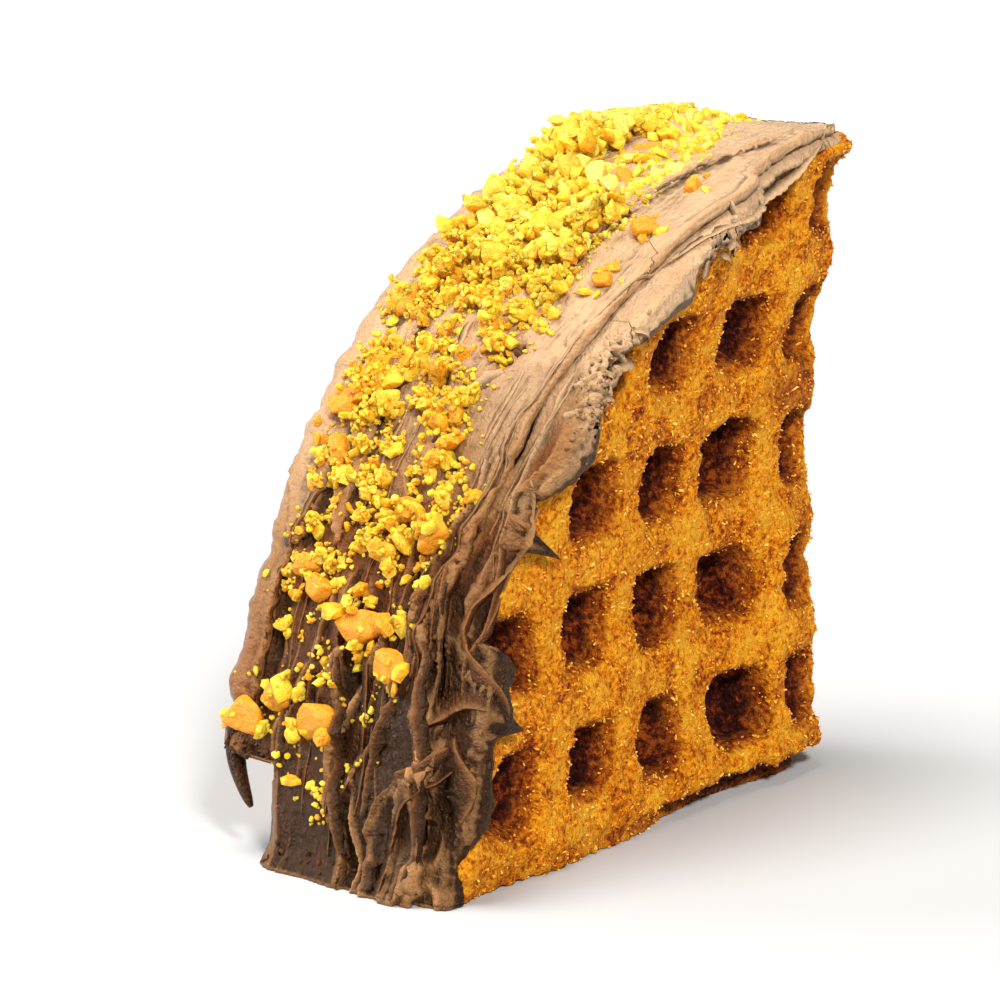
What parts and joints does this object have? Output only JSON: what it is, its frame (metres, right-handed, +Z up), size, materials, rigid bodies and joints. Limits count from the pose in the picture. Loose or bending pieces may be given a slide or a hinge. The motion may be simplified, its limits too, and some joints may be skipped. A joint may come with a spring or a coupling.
{
  "type": "filled waffle quarter",
  "caption": "Quarter of a round waffle folded in two, filled with chocolate cream that coats its round side, under chopped nuts.",
  "frame": {"origin": "middle of the base that the waffle stands on", "axes": "+Z up, +X from the round side to the fold, -Y out of the front face"},
  "size_m": [0.0956, 0.0464, 0.0938],
  "materials": {
    "waffle_crust": "golden baked crust, crisp and finely rough, darker red-brown in the pockets",
    "chocolate_cream": "milk chocolate cream, soft sheen with fine pits and spatula strokes, under yellow chopped nuts"
  },
  "bodies": {
    "root": {"waffle": "waffle_crust", "chocolate_cream": "chocolate_cream"}
  },
  "joints": []
}
